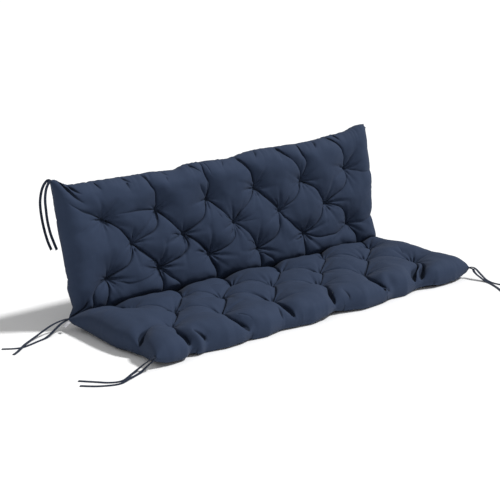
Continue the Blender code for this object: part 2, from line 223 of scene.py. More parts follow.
def makeTie(name, cloth):
    path = throughPoints([tieRoots[name[:-2]], *tieRoutes[name]], tie["step"])
    rows = len(path) - 1
    bm = bmesh.new()
    uvLayer = bm.loops.layers.uv.new("cloth")
    bmesh.ops.create_grid(bm, x_segments=tie["across"], y_segments=rows, size=0.5)
    length = float(np.sum(np.linalg.norm(np.diff(path, axis=0), axis=1)))
    for face in bm.faces:
        for loop in face.loops:
            loop[uvLayer].uv = (loop.vert.co.x * tie["width"], loop.vert.co.y * length)
    for vert in bm.verts:  # bend the flat strip along its route
        i = round((vert.co.y + 0.5) * rows)
        tangent = Vector(path[min(i + 1, rows)] - path[max(i - 1, 0)]).normalized()
        upright = Vector((0.0, 0.0, 1.0)) if path[i][2] < 0.10 else Vector((0.0, 1.0, 0.0))
        across = upright.cross(tangent).normalized()
        normal = tangent.cross(across).normalized()
        fromEdge = (0.5 - abs(vert.co.x)) * tie["width"]
        groove = tie["stitchDepth"] * math.exp(-((fromEdge - tie["stitchInset"]) / 0.0005) ** 2)
        vert.co = Vector(path[i]) + across * (vert.co.x * tie["width"]) - normal * groove
    strand = addPiece(name + "_cloth", bm)
    thicken(strand, tie["thickness"], cloth)
    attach(strand, "root")
    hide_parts(name)
    return strand


pad = {
    "halfWidth": 0.750,
    "seatDepth": 0.525,
    "backHeight": 0.487,
    "lean": math.radians(6.8),
    "foldY": 0.290,
    "seamZ": 0.040,
    "cell": 0.010,
    "sideShoulder": 0.075,
    "endShoulder": 0.070,
    "foldShoulder": 0.050,
    "foldHalf": 0.003,
    # the seat's face is lower towards the fold: across, and by what share
    "rearDrop": [(-0.75, 0.36), (0.20, 0.38), (0.42, 0.22), (0.75, 0.20)],
    "rearDropReach": 0.08,
    "cornerDrop": 0.18,          # lower still at the left end of the fold
    "cornerDropReach": 0.09,
    "cornerDropFrom": (0.55, 0.06),
    "drawnFrom": 0.60,           # the outline is drawn in from here to the side seams
    "drawnFromSeat": 0.39,       # and from here along the seat
    "drawnFromBack": 0.36,
    "pressGap": 0.0008,          # seat and back keep this far from the plane between them
}

fill = {   # height of the cloth above the seam plane, face then rear
    "seat": (0.055, 0.070),
    "back": (0.054, 0.049),
}

tuft = {
    "share": 0.80,
    "reach": 0.040,
    "power": 0.95,
    "half": 0.008,       # half of the pad's thickness at a stitch
    "fineReach": 0.032,
    "foldDepth": 0.017,
    "foldReach": 0.046,
    # size of each tuft's dent and painted shade spot
    "stitch": 0.0045,
    "core": 0.008,
    "coreReach": 0.007,
    "foldCount": (7, 12),
    "foldLength": (0.5, 1.6),
    "foldWidth": (0.0032, 0.11),   # at the tuft, and how fast it grows
    "foldFrom": (0.003, 0.014),    # where the folds begin, and how soon they are full
    "mostPress": 0.6,
    "around": 0.11,
    # size of each seat dot's dent and painted shade spot
    "dot": 0.0028,
    "dotDent": 0.0035,
}

# Tufts of the face, across and along from the fold, in millimetres; the seat is below 0
tuftRows = {
    "A0": (-570, 325), "A1": (-336, 322), "A2": (-107, 323),
    "A3": (126, 328), "A4": (359, 320), "A5": (590, 333),
    "B0": (-457, 219), "B1": (-228, 213), "B2": (10, 214),
    "B3": (237, 219), "B4": (475, 210),
    "C0": (-577, 112), "C1": (-346, 109), "C2": (-118, 116),
    "C3": (110, 94), "C4": (355, 110), "C5": (583, 110),
    "D0": (-562, -108), "D1": (-326, -106), "D2": (-100, -112),
    "D3": (140, -108), "D4": (372, -96), "D5": (612, -102),
    "E0": (-452, -228), "E1": (-232, -215), "E2": (-8, -230),
    "E3": (235, -222), "E4": (478, -222),
    "F0": (-560, -362), "F1": (-346, -360), "F2": (-128, -372),
    "F3": (123, -345), "F4": (338, -356), "F5": (592, -368),
}

tuftPlaces = {name: (u / 1000, r / 1000) for name, (u, r) in tuftRows.items()}

# Where the thread shows beside the seat's creases: small dents, darkened with painted shade
seatDots = [(-470, -234), (-250, -221), (-26, -236), (221, -228), (466, -228)]

# Creases of the face: where each starts, the points it passes, where it ends, in millimetres,
# and how deep it is at its start and its end, 1 being a full crease
faceCreases = [
    # back, down and to the right
    ("A0", [(-535, 303), (-503, 275), (-480, 248)], "B0", 0.9, 0.9),
    ("A1", [(-300, 283), (-268, 250)], "B1", 0.9, 0.9),
    ("A2", [(-80, 299), (-48, 268), (-20, 238)], "B2", 1.0, 0.9),
    ("A3", [(158, 295), (190, 268), (215, 245)], "B3", 1.0, 1.0),
    ("A4", [(395, 300), (428, 275), (452, 240)], "B4", 0.9, 0.9),
    ("B0", [(-420, 182), (-386, 152), (-362, 130)], "C1", 0.9, 1.0),
    ("B1", [(-192, 188), (-160, 162), (-136, 138)], "C2", 0.9, 1.0),
    ("B2", [(40, 190), (70, 158), (95, 125)], "C3", 0.9, 0.9),
    ("B3", [(262, 184), (292, 155), (325, 128)], "C4", 0.9, 1.0),
    ("B4", [(515, 198), (550, 178), (570, 150)], "C5", 0.9, 0.8),
    # back, down and to the left
    ("A1", [(-342, 290), (-349, 264), (-369, 248), (-408, 236)], "B0", 0.9, 0.5),
    ("A2", [(-123, 292), (-140, 259), (-175, 237)], "B1", 0.9, 0.8),
    ("A3", [(110, 313), (84, 287), (50, 262), (25, 240)], "B2", 0.9, 0.7),
    ("A4", [(344, 300), (328, 275), (300, 252), (262, 235)], "B3", 0.8, 0.6),
    ("A5", [(590, 305), (582, 280), (556, 255), (515, 235)], "B4", 0.9, 0.8),
    ("B0", [(-462, 198), (-470, 175), (-487, 152), (-512, 138), (-548, 127)], "C0", 0.9, 0.8),
    ("B1", [(-219, 190), (-217, 168), (-231, 149), (-262, 133), (-312, 120)], "C1", 1.0, 0.8),
    ("B2", [(2, 185), (-3, 162), (-26, 142), (-66, 126)], "C2", 0.9, 0.7),
    ("B3", [(226, 195), (222, 165), (200, 132), (162, 112)], "C3", 0.9, 0.8),
    ("B4", [(455, 195), (440, 168), (405, 135)], "C4", 0.9, 0.9),
    # back, to the seams
    ("A0", [(-628, 356), (-660, 369), (-690, 388)], (-718, 407), 0.9, 0.3),
    ("A0", [(-627, 334), (-654, 315)], (-693, 299), 0.3, 0.3),
    ("A1", [(-341, 356), (-343, 382), (-352, 405), (-366, 430)], (-386, 487), 1.0, 0.6),
    ("A2", [(-102, 350), (-102, 386), (-114, 412), (-125, 442)], (-124, 487), 1.0, 0.7),
    ((-90, 410), [(-101, 442)], (-110, 487), 0.1, 0.7),
    ("A3", [(115, 360), (106, 386), (93, 410), (75, 436)], (42, 487), 1.0, 0.8),
    ("A3", [(126, 352), (129, 388)], (142, 420), 0.6, 0.1),
    ("A4", [(347, 362), (330, 388), (303, 418), (272, 448)], (236, 487), 0.9, 0.8),
    ("A4", [(373, 365), (379, 392), (371, 415), (358, 440)], (350, 487), 0.8, 0.8),
    ("A5", [(584, 360), (577, 395), (560, 432), (533, 459)], (500, 487), 0.9, 0.8),
    ("A5", [(603, 358), (626, 384)], (654, 416), 0.7, 0.1),
    ("A5", [(640, 320), (680, 309)], (750, 308), 0.6, 0.25),
    # back, second folds beside the tufts and puckers at the top seam
    ((-49, 257), [(-33, 242)], (-13, 229), 0.3, 0.8),
    ((-79, 281), [(-70, 260)], (-60, 244), 0.3, 0.5),
    ((201, 274), [(218, 259)], (228, 235), 0.4, 0.8),
    ((16, 200), [(19, 180)], (21, 160), 0.6, 0.2),
    ((-477, 487), [(-460, 470)], (-443, 455), 0.9, 0.3),
    ((-461, 458), [(-459, 438)], (-457, 418), 0.6, 0.2),
    ((-303, 487), [(-293, 476)], (-281, 465), 0.9, 0.3),
    ((-292, 455), [(-294, 443)], (-294, 430), 0.5, 0.2),
    ((-181, 487), [(-160, 462)], (-136, 435), 0.9, 0.3),
    ((-722, 487), [(-696, 450), (-676, 425)], (-655, 402), 1.2, 0.3),
    ((-690, 487), [(-676, 462)], (-655, 440), 1.2, 0.2),
    ((550, 487), [(556, 470)], (566, 452), 1.0, 0.3),
    ((140, 487), [(134, 470)], (124, 452), 1.0, 0.3),
    ((-20, 487), [(-26, 470)], (-36, 455), 1.0, 0.3),
    ((440, 487), [(436, 468)], (424, 448), 1.0, 0.3),
    ((-588, 487), [(-584, 466)], (-572, 444), 1.0, 0.2),
    ((-700, 50), [(-722, 26)], (-750, 0), 0.8, 1.0),
    ((36, 246), [(22, 234)], (10, 214), 0.5, 0.8),
    ((-6, 190), [(-22, 176)], (-40, 168), 0.8, 0.3),
    ((-256, 214), [(-276, 222)], (-296, 222), 0.8, 0.3),
    ((-150, 128), [(-176, 140)], (-196, 142), 0.9, 0.3),
    ((-370, 130), [(-392, 142)], (-414, 146), 0.8, 0.3),
    ((90, 116), [(72, 130)], (52, 134), 0.8, 0.3),
    ((330, 100), [(306, 96)], (282, 100), 0.8, 0.3),
    ((255, 236), [(268, 256)], (276, 276), 0.7, 0.3),
    ((-130, 352), [(-144, 370)], (-154, 392), 0.7, 0.3),
    # back, level ones
    ("A0", [(-520, 337), (-470, 336), (-415, 334)], "A1", 0.2, 0.8),
    ("A2", [(-140, 327)], (-175, 329), 0.6, 0.1),
    ("A3", [(90, 331)], (35, 330), 0.6, 0.1),
    ("A4", [(330, 320)], (280, 319), 0.5, 0.1),
    ("A4", [(400, 318)], (490, 312), 0.4, 0.1),
    ("B2", [(50, 212), (90, 213)], (150, 207), 0.5, 0.2),
    ("B2", [(-20, 212)], (-58, 207), 0.8, 0.2),
    ("B2", [(3, 240), (0, 266)], (-10, 286), 0.5, 0.1),
    ("C1", [(-390, 117)], (-436, 134), 0.9, 0.2),
    ("C0", [(-540, 98), (-497, 81), (-440, 86)], (-385, 96), 0.5, 0.4),
    ("C0", [(-612, 106), (-645, 92), (-664, 66)], (-662, 24), 0.7, 1.3),
    ("C0", [(-573, 145)], (-563, 200), 0.6, 0.1),
    ("C5", [(540, 98), (505, 84), (460, 83), (405, 86)], "C4", 0.7, 0.7),
    ("C5", [(620, 104), (663, 110)], (750, 128), 0.4, 0.35),
    # back, down to the fold
    ("C0", [(-578, 80), (-586, 52)], (-600, 0), 0.9, 1.8),
    ("C1", [(-351, 85), (-346, 55)], (-355, 0), 0.9, 1.6),
    ("C1", [(-318, 72), (-290, 50)], (-250, 0), 0.8, 0.5),
    ("C2", [(-117, 95), (-104, 70), (-97, 45)], (-100, 0), 1.0, 1.8),
    ("C3", [(116, 70), (119, 45)], (116, 0), 0.9, 1.6),
    ("C3", [(78, 84), (60, 70)], (30, 58), 0.6, 0.2),
    ("C3", [(140, 66), (165, 45)], (200, 0), 0.7, 0.4),
    ("C4", [(346, 80), (346, 50)], (350, 0), 1.0, 2.0),
    ("C5", [(600, 82), (618, 55)], (620, 0), 1.0, 1.6),
    # seat, up to the fold
    ("D0", [(-556, -66)], (-580, 0), 1.3, 3.2),
    ("D1", [(-302, -56)], (-278, 0), 1.3, 3.3),
    ("D2", [(-84, -60)], (-60, 0), 1.3, 3.2),
    ("D3", [(160, -55)], (185, 0), 1.3, 3.2),
    ("D4", [(400, -50)], (440, 0), 1.2, 2.6),
    ("D5", [(630, -55)], (655, 0), 1.0, 1.6),
    # seat, down and to the left
    ("D1", [(-368, -155), (-412, -200)], "E0", 1.0, 0.9),
    ("D2", [(-140, -150), (-190, -188)], "E1", 1.0, 0.9),
    ("D3", [(98, -152), (36, -208)], "E2", 1.0, 0.9),
    ("D4", [(335, -145), (280, -190)], "E3", 1.0, 0.9),
    ("D5", [(575, -150), (520, -195)], "E4", 1.0, 0.9),
    ("E0", [(-480, -282), (-520, -330)], "F0", 1.0, 1.0),
    ("E1", [(-256, -270), (-305, -325)], "F1", 1.0, 1.0),
    ("E2", [(-34, -280), (-90, -345)], "F2", 1.0, 1.0),
    ("E3", [(212, -265), (165, -315)], "F3", 1.0, 1.0),
    ("E4", [(450, -265), (385, -325)], "F4", 1.0, 1.0),
    # seat, down and to the right
    ("D0", [(-515, -140), (-480, -180)], "E0", 0.45, 0.75),
    ("D1", [(-285, -130), (-252, -172)], "E1", 0.4, 0.75),
    ("D2", [(-60, -140), (-28, -185)], "E2", 0.35, 0.7),
    ("D3", [(182, -138), (218, -180)], "E3", 0.35, 0.8),
    ("D4", [(415, -130), (452, -178)], "E4", 0.35, 0.7),
    ("E0", [(-405, -262), (-368, -312)], "F1", 0.25, 0.7),
    ("E1", [(-186, -258), (-148, -315)], "F2", 0.25, 0.85),
    ("E2", [(42, -262), (92, -305)], "F3", 0.25, 0.7),
    ("E3", [(275, -262), (312, -310)], "F4", 0.25, 0.8),
    ("E4", [(520, -270), (560, -318)], "F5", 0.3, 0.7),
    # seat, to the side and front seams
    ((-640, -368), [(-700, -378)], (-750, -405), 0.2, 2.2),
    ("F0", [(-588, -430), (-596, -470), (-597, -505)], (-592, -525), 1.1, 2.4),
    ((-560, -470), [(-540, -502)], (-528, -525), 0.3, 1.7),
    ("F1", [(-372, -430), (-378, -475), (-360, -510)], (-346, -525), 1.2, 2.4),
    ((-352, -452), [(-336, -480)], (-328, -500), 0.6, 0.3),
    ("F2", [(-148, -430), (-158, -480), (-156, -510)], (-154, -525), 1.1, 1.6),
    ((-196, -488), [(-200, -506)], (-202, -525), 0.3, 0.9),
    ("F3", [(104, -405), (74, -455), (54, -495)], (48, -525), 1.0, 1.5),
    ((108, -486), [(112, -505)], (112, -525), 0.3, 0.8),
    ("F4", [(296, -425), (284, -475), (302, -510)], (330, -525), 1.2, 2.4),
    ((250, -462), [(268, -488)], (284, -515), 0.4, 1.2),
    ("F5", [(552, -430), (502, -470), (468, -505)], (460, -525), 1.3, 2.2),
    ("F5", [(578, -430), (532, -472), (506, -505)], (494, -525), 1.2, 2.4),
    ("F5", [(650, -375)], (700, -385), 0.4, 0.1),
    ("D5", [(660, -108)], (700, -115), 0.4, 0.1),
    ("D0", [(-620, -115)], (-690, -125), 0.6, 0.1),
    ("D0", [(-590, -70)], (-640, -30), 0.6, 0.3),
    ((605, -300), [(622, -265)], (640, -235), 0.5, 0.2),
]

crease = {
    "depth": 0.27,       # share of the puff's height that a full crease takes
    "width": 0.060,
    "sharpness": 2.3,
    "softest": 0.2,      # below this depth a crease is only a soft dip
    "tuck": 0.010,       # how far the cloth is tucked in along the crease
    "strip": 0.0023,     # half of the tuck's width
    "lip": 0.0022,       # one side of a crease lies a little over the other
    "lipAt": 0.007,
    "lipWidth": 0.006,
    "rearDepth": 0.17,
    "rearTuck": 0.008,
    "rearBow": 0.016,
    "step": 0.0025,
    "leastDepth": 0.15,  # shallower creases get no tuck
    "mostTuck": 0.72,
}

# Outline of the sewn edge in millimetres: across (or along), and where the seam lies there
outlineRows = {
    "top": [(-750, 496), (-727, 499), (-704, 483), (-680, 470), (-560, 468), (-470, 466),
            (-386, 463), (-350, 465), (-290, 460), (-225, 456), (-190, 468), (-150, 471),
            (-118, 468), (-80, 468), (20, 461), (60, 466), (110, 474), (160, 477), (225, 476),
            (262, 474), (310, 474), (360, 470), (430, 471), (490, 474), (520, 479), (575, 481),
            (630, 484), (700, 500), (742, 502), (750, 497)],
    "front": [(-750, 530), (-680, 543), (-620, 538), (-590, 513), (-560, 533), (-528, 520),
              (-450, 540), (-385, 538), (-345, 528), (-270, 540), (-198, 524), (-157, 530),
              (-70, 546), (0, 538), (50, 516), (90, 524), (170, 550), (290, 540), (334, 524),
              (400, 532), (462, 514), (494, 514), (560, 538), (650, 540), (750, 520)],
    "left": [(-525, 748), (-460, 736), (-405, 728), (-360, 738), (-280, 746), (-180, 742),
             (-110, 738), (-50, 744), (0, 750), (30, 718), (66, 724), (103, 733), (123, 730),
             (173, 733), (245, 738), (310, 744), (380, 746), (440, 748), (487, 758)],
    "right": [(-525, 758), (-460, 742), (-370, 736), (-280, 746), (-160, 740), (-100, 735),
              (-40, 744), (0, 750), (42, 741), (86, 730), (110, 726), (126, 720), (157, 731),
              (220, 737), (293, 744), (308, 739), (323, 740), (385, 732), (448, 728), (487, 740)],
    # how high the underside lies off the ground at the front and left seams
    "frontLift": [(-750, 28), (-700, 12), (-650, 7), (-590, 10), (-550, 6), (-500, 2), (-400, 8),
                  (-350, 3), (-300, 0), (-240, 4), (-180, 6), (-110, 3), (-40, 6), (20, 16),
                  (60, 16), (100, 4), (180, 2), (280, 4), (330, 2), (400, 0), (460, 3), (520, 12),
                  (600, 5), (690, 10), (750, 22)],
    "leftLift": [(-525, 24), (-440, 6), (-300, 4), (-150, 9), (-60, 16), (0, 26)],
}
outline = {name: np.array([(at / 1000, lies / 1000) for at, lies in pairs])
           for name, pairs in outlineRows.items()}

seam = {
    "groove": 0.0022,
    "grooveWidth": 0.004,
    "pleatValley": 0.0042,
    "pleatTuck": 0.0050,
    "unevenness": [(0.12, 0.0050), (0.055, 0.0034), (0.026, 0.0012)],
    "puckerSize": 0.010,
    "puckerDepth": (0.010, 0.0032),   # along the back's top, and elsewhere
    "puckerReach": 0.022,
    "bunchSize": 0.09,
    "pleatsFrom": 0.095,
    "pleatsGrow": 0.045,
    "pleatsFade": 0.012,
    "evenFrom": 0.02,
    "mostSink": 0.75,
    "liftReach": 0.050,
}

clothSim = {
    "pressure": 15.0,
    "slack": 1.09,       # how much more cloth there is than the flat layout
    "frames": 16,
    "quality": 5,
    "vertexMass": 0.001,
    "stretch": 15.0,
    "shear": 4.0,
    "bending": 0.12,
    "creaseHold": 0.45,
    "mostMove": 0.018,
}


def place(spot):  # in metres
    return tuftPlaces[spot] if isinstance(spot, str) else (spot[0] / 1000, spot[1] / 1000)


def creaseRuns():  # the face's creases: points along each, and how deep it is there
    runs = []
    for start, via, end, depthStart, depthEnd in faceCreases:
        points = throughPoints([place(spot) for spot in (start, *via, end)], crease["step"])
        share = np.linspace(0.0, 1.0, len(points))
        runs.append((points, depthStart + (depthEnd - depthStart) * share))
    return runs


def rearRuns():  # bowed creases between diagonal neighbours and out to the seams
    random = np.random.default_rng(7)
    names = list(tuftPlaces)
    runs = []
    for i, first in enumerate(names):
        for second in names[i + 1:]:
            (ua, ra), (ub, rb) = tuftPlaces[first], tuftPlaces[second]
            if abs(ua - ub) < 0.15 and 0.05 < abs(ra - rb) < 0.16 and ra * rb > 0.0:
                middle = np.array([0.5 * (ua + ub), 0.5 * (ra + rb)])
                side = np.array([rb - ra, ua - ub]) / math.hypot(ua - ub, ra - rb)
                middle = middle + side * random.uniform(-1.0, 1.0) * crease["rearBow"]
                points = throughPoints([(ua, ra), middle, (ub, rb)], crease["step"])
                runs.append((points, np.full(len(points), random.uniform(0.6, 1.0))))
    for name, (u, r) in tuftPlaces.items():
        row = name[0]
        if row in "CD":
            ends = [(u + random.uniform(-0.02, 0.02), 0.0)]
        elif row in "AF":
            seamAt = pad["backHeight"] if row == "A" else -pad["seatDepth"]
            ends = [(u + random.uniform(-0.05, 0.01), seamAt)]
        else:
            ends = []
        if name in ("A0", "C0", "F0"):
            ends.append((-pad["halfWidth"], r + random.uniform(-0.02, 0.03)))
        if name in ("A5", "C5", "D5"):
            ends.append((pad["halfWidth"], r + random.uniform(-0.02, 0.03)))
        for end in ends:
            middle = (0.5 * (u + end[0]) + random.uniform(-0.012, 0.012), 0.5 * (r + end[1]))
            points = throughPoints([(u, r), middle, end], crease["step"])
            depths = random.uniform(0.7, 1.0), random.uniform(0.4, 0.8)
            runs.append((points, np.linspace(*depths, len(points))))
    return runs


def shoulder(distance, width):
    inside = np.clip(distance / width, 0.0, 1.0)
    return np.sqrt(1.0 - (1.0 - inside) ** 2)


def creaseFields(u, r, runs):  # how deep the valleys, the tucks and the lips of creases are
    valley, tuck, lip = np.zeros_like(u), np.zeros_like(u), np.zeros_like(u)
    for points, depths in runs:
        low, high = points.min(axis=0) - crease["width"], points.max(axis=0) + crease["width"]
        these = np.where((u > low[0]) & (u < high[0]) & (r > low[1]) & (r < high[1]))[0]
        starts, spans = points[:-1], np.diff(points, axis=0)
        du, dr = u[these, None] - starts[:, 0], r[these, None] - starts[:, 1]
        lengths = np.maximum(np.sum(spans ** 2, axis=1), 1e-12)
        share = np.clip((du * spans[:, 0] + dr * spans[:, 1]) / lengths, 0.0, 1.0)
        apart = np.hypot(du - share * spans[:, 0], dr - share * spans[:, 1])
        nearest = np.argmin(apart, axis=1)
        rows = np.arange(len(these))
        distance = apart[rows, nearest]
        depth = depths[nearest] + (depths[nearest + 1] - depths[nearest]) * share[rows, nearest]
        turn = spans[nearest, 0] * dr[rows, nearest] - spans[nearest, 1] * du[rows, nearest]
        near = np.clip(1.0 - distance / crease["width"], 0.0, 1.0) ** crease["sharpness"]
        valley[these] = np.maximum(valley[these], depth * near)
        line = np.clip(1.0 - distance / crease["strip"], 0.0, 1.0)
        crisp = np.maximum(depth - crease["softest"], 0.0) / (1.0 - crease["softest"])
        tuck[these] = np.maximum(tuck[these], np.minimum(crisp, 1.9) ** 1.5 * line)
        bulge = np.exp(-((distance - crease["lipAt"]) / crease["lipWidth"]) ** 2)
        raised = np.minimum(crisp, 1.0) * bulge * (turn > 0.0)
        lip[these] = np.maximum(lip[these], raised)
    return valley, tuck, lip


def loftOf(u, r, side, runs):  # height of one cloth above the seam plane, before the filling
    index = 0 if side > 0 else 1
    endAt = np.where(r < 0.0, pad["seatDepth"], pad["backHeight"])
    full = np.where(r < 0.0, fill["seat"][index], fill["back"][index])
    rise = shoulder(pad["halfWidth"] - np.abs(u), pad["sideShoulder"])
    rise = rise * shoulder(endAt - np.abs(r), pad["endShoulder"])
    foldRise = shoulder(np.abs(r), pad["foldShoulder"])
    pits = np.ones_like(u)
    for tu, tr in tuftPlaces.values():
        gap = np.hypot(u - tu, r - tr)
        pits *= 1.0 - tuft["share"] * np.exp(-(gap / tuft["reach"]) ** tuft["power"])
    valley, tuck, lip = creaseFields(u, r, runs)
    share = crease["depth"] if side > 0 else crease["rearDepth"]
    if side > 0:
        drop = np.interp(u, *zip(*pad["rearDrop"]))
        full = full * np.where(r < 0.0, 1.0 - drop * np.exp(-(r / pad["rearDropReach"]) ** 2), 1.0)
        begins, grows = pad["cornerDropFrom"]
        full = full * (1.0 - pad["cornerDrop"] * np.exp(-(r / pad["cornerDropReach"]) ** 2)
                       * np.clip((-begins - u) / grows, 0.0, 1.0))
    height = full * rise * foldRise * pits * (1.0 - share * valley)
    least = np.minimum(tuft["half"], pad["foldHalf"] + 0.4 * np.abs(r))
    least = least * np.minimum(1.0, 2.0 * rise)
    height = np.maximum(height, least)
    height += crease["lip"] * lip * np.minimum(1.0, height / 0.03)
    depth = crease["tuck"] if side > 0 else crease["rearTuck"]
    return height - np.minimum(depth * tuck, crease["mostTuck"] * height)


def drawnIn(u, r):  # where the flat layout lies once its outline is drawn in
    left, right, top, front = (outline[name].T for name in ("left", "right", "top", "front"))
    sideAt = np.where(u < 0.0, np.interp(r, *left), np.interp(r, *right))
    begins = pad["drawnFrom"]
    nearSide = np.clip((np.abs(u) - begins) / (pad["halfWidth"] - begins), 0.0, 1.0)
    nearSide = nearSide * nearSide * (3.0 - 2.0 * nearSide)
    x = u + np.sign(u) * (sideAt - pad["halfWidth"]) * nearSide
    endAt = np.where(r < 0.0, np.interp(u, *front), np.interp(u, *top))
    flatEnd = np.where(r < 0.0, pad["seatDepth"], pad["backHeight"])
    inner = np.where(r < 0.0, pad["drawnFromSeat"], pad["drawnFromBack"])
    nearEnd = np.clip((np.abs(r) - inner) / (flatEnd - inner), 0.0, 1.0)
    nearEnd = nearEnd * nearEnd * (3.0 - 2.0 * nearEnd)
    reach = r + np.sign(r) * (endAt - flatEnd) * nearEnd
    return x, reach


def standUp(x, reach, loft):  # bends the flat pad at its fold; loft is above 0 at the face
    leanY, leanZ = math.sin(pad["lean"]), math.cos(pad["lean"])
    seat = np.stack([x, pad["foldY"] + reach, pad["seamZ"] + loft], axis=-1)
    back = np.stack([x, pad["foldY"] + reach * leanY - loft * leanZ,
                     pad["seamZ"] + reach * leanZ + loft * leanY], axis=-1)
    half = 0.5 * pad["lean"] + 0.25 * math.pi
    fold = np.stack([x, pad["foldY"] - loft * math.sin(half),
                     pad["seamZ"] + loft * math.cos(half)], axis=-1)
    bent = np.where((reach < 0.0)[..., None], seat, back)
    return np.where((np.abs(reach) < 1e-6)[..., None], fold, bent)


def groundUnder(u, r):  # the ground, and a little more near the front and left seams
    reach = seam["liftReach"]
    front = np.interp(u, *outline["frontLift"].T) * np.exp(-((pad["seatDepth"] + r) / reach) ** 2)
    left = np.interp(r, *outline["leftLift"].T) * np.exp(-((pad["halfWidth"] + u) / reach) ** 2)
    return np.where(r < 0.0, np.maximum(front, left), 0.0)


def keepClear(coords, panel, reach, ground):  # above the ground, and seat and back apart
    coords[:, 2] = np.maximum(coords[:, 2], ground)
    half = 0.5 * (0.5 * math.pi + pad["lean"])
    normal = np.array([-math.sin(half), -math.cos(half)])  # in y and z, from back to seat
    gap = (coords[:, 1] - pad["foldY"]) * normal[0] + (coords[:, 2] - pad["seamZ"]) * normal[1]
    least = pad["pressGap"]
    onSeat = (panel > 0) & (reach < 0.0)
    onBack = (panel > 0) & (reach > 0.0)
    push = np.where(onSeat, np.maximum(least - gap, 0.0), 0.0)
    push = np.where(onBack, np.minimum(-least - gap, 0.0), push)
    coords[:, 1] += push * normal[0]
    coords[:, 2] += push * normal[1]
    return coords


def gridLines():
    columns = round(2 * pad["halfWidth"] / pad["cell"])
    seatRows = round(pad["seatDepth"] / pad["cell"])
    backRows = round(pad["backHeight"] / pad["cell"])
    us = np.linspace(-pad["halfWidth"], pad["halfWidth"], columns + 1)
    rs = np.concatenate([np.linspace(-pad["seatDepth"], 0.0, seatRows + 1),
                         np.linspace(0.0, pad["backHeight"], backRows + 1)[1:]])
    return us, rs


def layCreases(us, rs, runs):  # moves the layout's points onto the creases, and lists them
    u, r = np.meshgrid(us, rs, indexing="ij")
    moveU, moveR = np.zeros_like(u), np.zeros_like(r)
    held = np.zeros(u.shape, dtype=bool)
    held[0, :] = held[-1, :] = held[:, 0] = held[:, -1] = True
    foldRow = int(np.argmin(np.abs(rs)))
    chains = []
    for points, depths in runs:
        columns, rows = (
            np.clip(np.rint(np.interp(points[:, k], lines, np.arange(len(lines)))).astype(int),
                    0, len(lines) - 1) for k, lines in enumerate((us, rs)))
        keys, spots = [], []
        for key, point, depth in zip(zip(columns, rows), points, depths):
            if keys and keys[-1] == key:
                spots[-1].append((*point, depth))
            else:
                keys.append(key)
                spots.append([(*point, depth)])
        k = 1
        while k < len(keys) - 1:   # drop the corners of stair steps
            (ca, ra), (cb, rb) = keys[k - 1], keys[k + 1]
            if max(abs(ca - cb), abs(ra - rb)) <= 1:
                del keys[k], spots[k]
            else:
                k += 1
        chain = []
        for number, (key, near) in enumerate(zip(keys, spots)):
            middle = near[len(near) // 2]
            if number == 0:
                middle = near[0]
            if number == len(keys) - 1:
                middle = near[-1]
            if not held[key]:
                moveU[key] = middle[0] - u[key]
                moveR[key] = 0.0 if key[1] == foldRow else middle[1] - r[key]
                held[key] = True
            chain.append((key, middle[2]))
        chains.append(chain)
    for _ in range(14):
        for move in (moveU, moveR):
            around = 0.25 * (move[:-2, 1:-1] + move[2:, 1:-1] + move[1:-1, :-2] + move[1:-1, 2:])
            inner = move[1:-1, 1:-1]
            inner[...] = np.where(held[1:-1, 1:-1], inner, around)
        moveR[:, foldRow] = 0.0
    return u + moveU, r + moveR, chains


